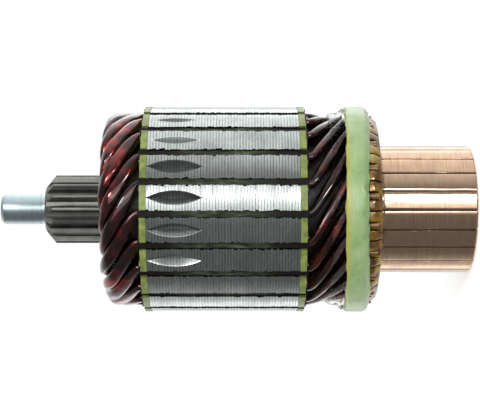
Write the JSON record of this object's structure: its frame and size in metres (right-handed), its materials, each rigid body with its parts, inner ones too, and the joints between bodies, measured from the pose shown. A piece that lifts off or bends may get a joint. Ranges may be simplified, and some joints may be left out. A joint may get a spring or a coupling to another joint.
{
  "type": "motor armature",
  "caption": "Wound motor armature with slotted steel core, hairpin copper winding, banded leads, barrel commutator and a shaft with an integral sun gear and pilot journal.",
  "frame": {"origin": "middle of the commutator's end face, on the shaft axis", "axes": "+Z along the shaft from the commutator end to the drive end, +X through the top of the picture"},
  "size_m": [0.068, 0.068, 0.1547],
  "materials": {
    "shaft_steel": "ground",
    "core_steel": "turned, oiled",
    "green_plate": "satin",
    "liner_paper": "varnished paper",
    "wedge_fibre": "matte",
    "winding_copper": "varnished",
    "clear_resin": "gloss",
    "glass_band": "gloss",
    "bar_copper": "run in",
    "mica": "matte",
    "hub_moulding": "moulded",
    "sleeve_steel": "turned",
    "bush_bronze": "sintered"
  },
  "bodies": {
    "root": {"armature_shaft": "shaft_steel", "journal_bush": "bush_bronze", "core_laminations": "core_steel", "end_plate_drive": "green_plate", "end_plate_commutator": "green_plate", "slot_liners": "liner_paper", "slot_wedges": "wedge_fibre", "layer_sleeve_drive": "liner_paper", "layer_sleeve_commutator": "liner_paper", "band_resin": "clear_resin", "binding_band": "glass_band", "mica_separators": "mica", "commutator_hub": "hub_moulding", "commutator_sleeve": "sleeve_steel", "coil_01": "winding_copper", "coil_02": "winding_copper", "coil_03": "winding_copper", "coil_04": "winding_copper", "coil_05": "winding_copper", "coil_06": "winding_copper", "coil_07": "winding_copper", "coil_08": "winding_copper", "coil_09": "winding_copper", "coil_10": "winding_copper", "coil_11": "winding_copper", "coil_12": "winding_copper", "coil_13": "winding_copper", "coil_14": "winding_copper", "coil_15": "winding_copper", "coil_16": "winding_copper", "coil_17": "winding_copper", "coil_18": "winding_copper", "coil_19": "winding_copper", "coil_20": "winding_copper", "coil_21": "winding_copper", "commutator_bar_01": "bar_copper", "commutator_bar_02": "bar_copper", "commutator_bar_03": "bar_copper", "commutator_bar_04": "bar_copper", "commutator_bar_05": "bar_copper", "commutator_bar_06": "bar_copper", "commutator_bar_07": "bar_copper", "commutator_bar_08": "bar_copper", "commutator_bar_09": "bar_copper", "commutator_bar_10": "bar_copper", "commutator_bar_11": "bar_copper", "commutator_bar_12": "bar_copper", "commutator_bar_13": "bar_copper", "commutator_bar_14": "bar_copper", "commutator_bar_15": "bar_copper", "commutator_bar_16": "bar_copper", "commutator_bar_17": "bar_copper", "commutator_bar_18": "bar_copper", "commutator_bar_19": "bar_copper", "commutator_bar_20": "bar_copper", "commutator_bar_21": "bar_copper"}
  },
  "joints": []
}
